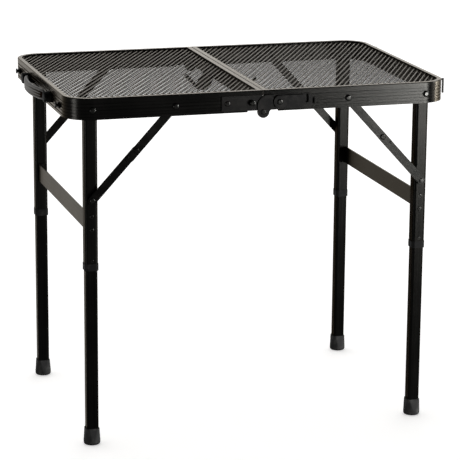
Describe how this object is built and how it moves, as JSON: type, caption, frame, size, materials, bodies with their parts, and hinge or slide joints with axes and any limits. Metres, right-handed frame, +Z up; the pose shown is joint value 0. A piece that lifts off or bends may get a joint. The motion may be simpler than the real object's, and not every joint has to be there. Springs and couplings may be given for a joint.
{
  "type": "folding camping side table",
  "caption": "Small black folding table: two mesh-topped half frames hinged at the middle, folding square legs with jointed braces, end latches and a carry handle.",
  "frame": {"origin": "on the floor, under the middle of the hinge line", "axes": "+X along the open top towards the latch end, +Y across the top, +Z up"},
  "size_m": [0.6304, 0.418, 0.542],
  "materials": {
    "rim": "satin black coated extrusion with lengthwise ribs",
    "mesh": "black coated expanded metal",
    "leg": "satin black powder coat",
    "lower_leg": "satin black anodised tube",
    "strap_metal": "satin black powder coat on flat strip",
    "hinge_metal": "black coated pressed steel",
    "rivet": "gloss black rivet heads",
    "plastic": "fine grained black moulding",
    "foot_rubber": "matt black rubber",
    "grip": "soft black grip with lengthwise ribs"
  },
  "bodies": {
    "left_half": {"left_rim": "rim", "left_centre_bar": "rim", "left_mesh": "mesh", "left_stow_hook": "strap_metal", "left_hinge_plates": "hinge_metal", "hinge_pins": "rivet", "lever_studs": "rivet", "left_hinge_rivets": "rivet", "latch_catches": "rivet", "handle_brackets": "plastic", "handle_screws": "rivet", "left_leg_pivots": "rivet", "left_brace_rail_rivets": "rivet"},
    "right_half": {"right_rim": "rim", "right_centre_bar": "rim", "right_mesh": "mesh", "right_stow_hook": "strap_metal", "right_hinge_plates": "hinge_metal", "right_hinge_rivets": "rivet", "lever_rivets": "rivet", "latch_rivets": "rivet", "right_leg_pivots": "rivet", "right_brace_rail_rivets": "rivet"},
    "handle": {"handle_strap": "strap_metal", "handle_grip": "grip"},
    "front_lock_lever": {"front_lock_lever": "hinge_metal"},
    "back_lock_lever": {"back_lock_lever": "hinge_metal"},
    "front_latch": {"front_latch": "hinge_metal"},
    "back_latch": {"back_latch": "hinge_metal"},
    "left_legs": {"back_left_upper_leg": "leg", "front_left_upper_leg": "leg", "left_crossbar": "leg", "left_crossbar_rivets": "rivet", "left_leg_collars": "plastic", "left_leg_detents": "rivet", "left_brace_leg_rivets": "rivet"},
    "back_left_lower_leg": {"back_left_lower_leg": "lower_leg", "back_left_foot": "foot_rubber"},
    "front_left_lower_leg": {"front_left_lower_leg": "lower_leg", "front_left_foot": "foot_rubber"},
    "back_left_brace_upper": {"back_left_brace_upper": "strap_metal"},
    "back_left_brace_lower": {"back_left_brace_lower": "strap_metal"},
    "front_left_brace_upper": {"front_left_brace_upper": "strap_metal"},
    "front_left_brace_lower": {"front_left_brace_lower": "strap_metal"},
    "right_legs": {"back_right_upper_leg": "leg", "front_right_upper_leg": "leg", "right_crossbar": "leg", "right_crossbar_rivets": "rivet", "right_leg_collars": "plastic", "right_leg_detents": "rivet", "right_brace_leg_rivets": "rivet"},
    "back_right_lower_leg": {"back_right_lower_leg": "lower_leg", "back_right_foot": "foot_rubber"},
    "front_right_lower_leg": {"front_right_lower_leg": "lower_leg", "front_right_foot": "foot_rubber"},
    "back_right_brace_upper": {"back_right_brace_upper": "strap_metal"},
    "back_right_brace_lower": {"back_right_brace_lower": "strap_metal"},
    "front_right_brace_upper": {"front_right_brace_upper": "strap_metal"},
    "front_right_brace_lower": {"front_right_brace_lower": "strap_metal"}
  },
  "joints": [
    {"name": "top_fold", "type": "hinge", "parent": "left_half", "child": "right_half", "pos_m": [0, 0, 0.5095], "axis": [0, 1, 0], "range_deg": [0, 45]},
    {"name": "left_leg_fold", "type": "hinge", "parent": "left_half", "child": "left_legs", "pos_m": [-0.262, 0, 0.524], "axis": [0, 1, 0], "range_deg": [-90, 0]},
    {"name": "right_leg_fold", "type": "hinge", "parent": "right_half", "child": "right_legs", "pos_m": [0.262, 0, 0.524], "axis": [0, 1, 0], "range_deg": [0, 83]},
    {"name": "front_lock_lever_turn", "type": "hinge", "parent": "right_half", "child": "front_lock_lever", "pos_m": [0.0251, -0.2047, 0.524], "axis": [0, 1, 0], "range_deg": [-180, 0]},
    {"name": "back_lock_lever_turn", "type": "hinge", "parent": "right_half", "child": "back_lock_lever", "pos_m": [0.0251, 0.2047, 0.524], "axis": [0, 1, 0], "range_deg": [-180, 0]},
    {"name": "front_latch_turn", "type": "hinge", "parent": "right_half", "child": "front_latch", "pos_m": [0.3037, -0.145, 0.514], "axis": [1, 0, 0], "range_deg": [-180, 0]},
    {"name": "back_latch_turn", "type": "hinge", "parent": "right_half", "child": "back_latch", "pos_m": [0.3037, 0.145, 0.514], "axis": [1, 0, 0], "range_deg": [0, 180]},
    {"name": "handle_turn", "type": "hinge", "parent": "left_half", "child": "handle", "pos_m": [-0.306, 0, 0.524], "axis": [0, 1, 0], "range_deg": [-30, 30]},
    {"name": "back_left_leg_slide", "type": "slide", "parent": "left_legs", "child": "back_left_lower_leg", "axis": [0, 0, 1], "range_m": [0, 0.214]},
    {"name": "back_left_brace_upper_turn", "type": "hinge", "parent": "left_half", "child": "back_left_brace_upper", "pos_m": [-0.1355, 0.1951, 0.524], "axis": [0, 1, 0], "range_deg": [0, 47.54]},
    {"name": "back_left_brace_lower_turn", "type": "hinge", "parent": "left_legs", "child": "back_left_brace_lower", "pos_m": [-0.262, 0.1931, 0.386], "axis": [0, 1, 0], "range_deg": [-42.56, 0]},
    {"name": "front_left_leg_slide", "type": "slide", "parent": "left_legs", "child": "front_left_lower_leg", "axis": [0, 0, 1], "range_m": [0, 0.214]},
    {"name": "front_left_brace_upper_turn", "type": "hinge", "parent": "left_half", "child": "front_left_brace_upper", "pos_m": [-0.1355, -0.1951, 0.524], "axis": [0, 1, 0], "range_deg": [0, 47.54]},
    {"name": "front_left_brace_lower_turn", "type": "hinge", "parent": "left_legs", "child": "front_left_brace_lower", "pos_m": [-0.262, -0.1931, 0.386], "axis": [0, 1, 0], "range_deg": [-42.56, 0]},
    {"name": "back_right_leg_slide", "type": "slide", "parent": "right_legs", "child": "back_right_lower_leg", "axis": [0, 0, 1], "range_m": [0, 0.214]},
    {"name": "back_right_brace_upper_turn", "type": "hinge", "parent": "right_half", "child": "back_right_brace_upper", "pos_m": [0.1355, 0.1951, 0.524], "axis": [0, 1, 0], "range_deg": [-46.01, 0]},
    {"name": "back_right_brace_lower_turn", "type": "hinge", "parent": "right_legs", "child": "back_right_brace_lower", "pos_m": [0.262, 0.1931, 0.386], "axis": [0, 1, 0], "range_deg": [0, 41.18]},
    {"name": "front_right_leg_slide", "type": "slide", "parent": "right_legs", "child": "front_right_lower_leg", "axis": [0, 0, 1], "range_m": [0, 0.214]},
    {"name": "front_right_brace_upper_turn", "type": "hinge", "parent": "right_half", "child": "front_right_brace_upper", "pos_m": [0.1355, -0.1951, 0.524], "axis": [0, 1, 0], "range_deg": [-46.01, 0]},
    {"name": "front_right_brace_lower_turn", "type": "hinge", "parent": "right_legs", "child": "front_right_brace_lower", "pos_m": [0.262, -0.1931, 0.386], "axis": [0, 1, 0], "range_deg": [0, 41.18]}
  ],
  "couplings": [
    {"joint": "back_left_leg_slide", "follows": "left_leg_fold", "m_per_rad": -0.13622},
    {"joint": "back_left_brace_upper_turn", "follows": "left_leg_fold", "ratio": -0.52766},
    {"joint": "back_left_brace_lower_turn", "follows": "left_leg_fold", "ratio": 0.47234},
    {"joint": "front_left_leg_slide", "follows": "left_leg_fold", "m_per_rad": -0.13622},
    {"joint": "front_left_brace_upper_turn", "follows": "left_leg_fold", "ratio": -0.52766},
    {"joint": "front_left_brace_lower_turn", "follows": "left_leg_fold", "ratio": 0.47234},
    {"joint": "back_right_leg_slide", "follows": "right_leg_fold", "m_per_rad": 0.14771},
    {"joint": "back_right_brace_upper_turn", "follows": "right_leg_fold", "ratio": -0.55374},
    {"joint": "back_right_brace_lower_turn", "follows": "right_leg_fold", "ratio": 0.49559},
    {"joint": "front_right_leg_slide", "follows": "right_leg_fold", "m_per_rad": 0.14771},
    {"joint": "front_right_brace_upper_turn", "follows": "right_leg_fold", "ratio": -0.55374},
    {"joint": "front_right_brace_lower_turn", "follows": "right_leg_fold", "ratio": 0.49559}
  ]
}
